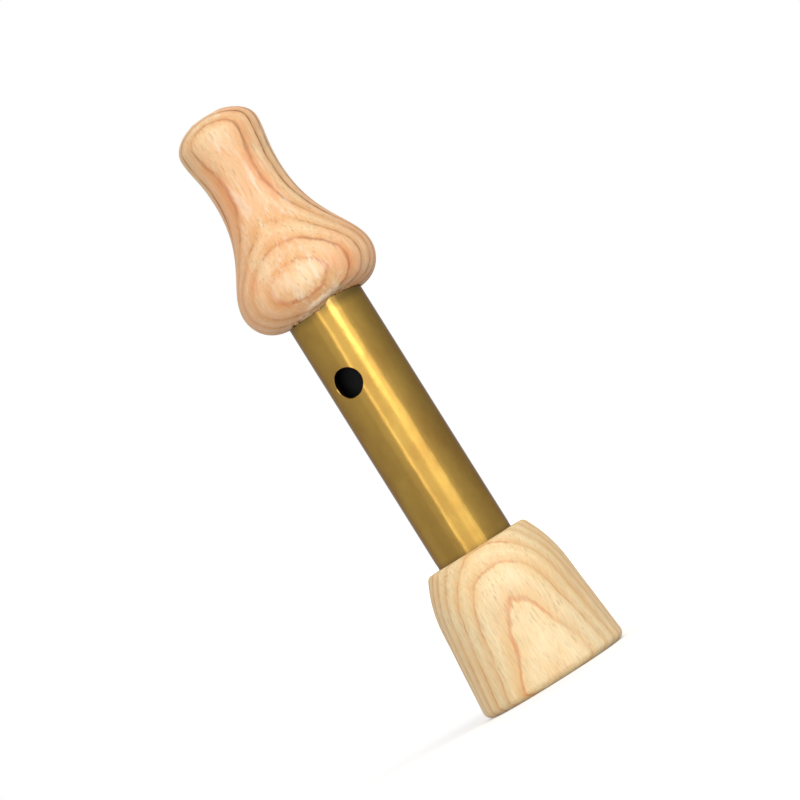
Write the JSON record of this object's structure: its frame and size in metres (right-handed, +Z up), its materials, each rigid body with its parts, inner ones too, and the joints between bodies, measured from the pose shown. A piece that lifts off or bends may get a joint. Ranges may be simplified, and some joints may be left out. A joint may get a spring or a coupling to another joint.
{
  "type": "bird call",
  "caption": "Mouth-blown reed bird call: turned wood mouthpiece and flared bell on a brass barrel with a tone hole, with a pull-out reed insert inside.",
  "frame": {"origin": "centre of the bell's flat rim, on the call's axis", "axes": "+Z up the call's axis from the bell to the mouthpiece, with the tone hole on the -Y side"},
  "size_m": [0.0308, 0.0308, 0.1254],
  "materials": {
    "ash_mouthpiece": "turned, oiled ash",
    "ash_bell": "turned, oiled ash",
    "brass_tube": "drawn tube, satin",
    "hard_rubber": "machined black hard rubber",
    "ring_rubber": "moulded nitrile rubber",
    "reed_brass": "rolled spring brass",
    "cork": "cut cork"
  },
  "bodies": {
    "bell": {"bell": "ash_bell", "tone_board": "hard_rubber", "lower_o_ring": "ring_rubber", "upper_o_ring": "ring_rubber", "reed_root": "reed_brass", "reed_wedge": "cork"},
    "barrel": {"barrel_tube": "brass_tube", "mouthpiece": "ash_mouthpiece"},
    "reed": {"reed_tongue": "reed_brass"}
  },
  "joints": [
    {"name": "barrel_pull", "type": "slide", "parent": "bell", "child": "barrel", "axis": [0, 0, 1], "range_m": [0, 0.06]},
    {"name": "reed_flex", "type": "hinge", "parent": "bell", "child": "reed", "pos_m": [0, 0.0008, 0.036], "axis": [1, 0, 0], "range_deg": [-2.5, 2], "stiffness_Nm_per_rad": 0.1}
  ]
}
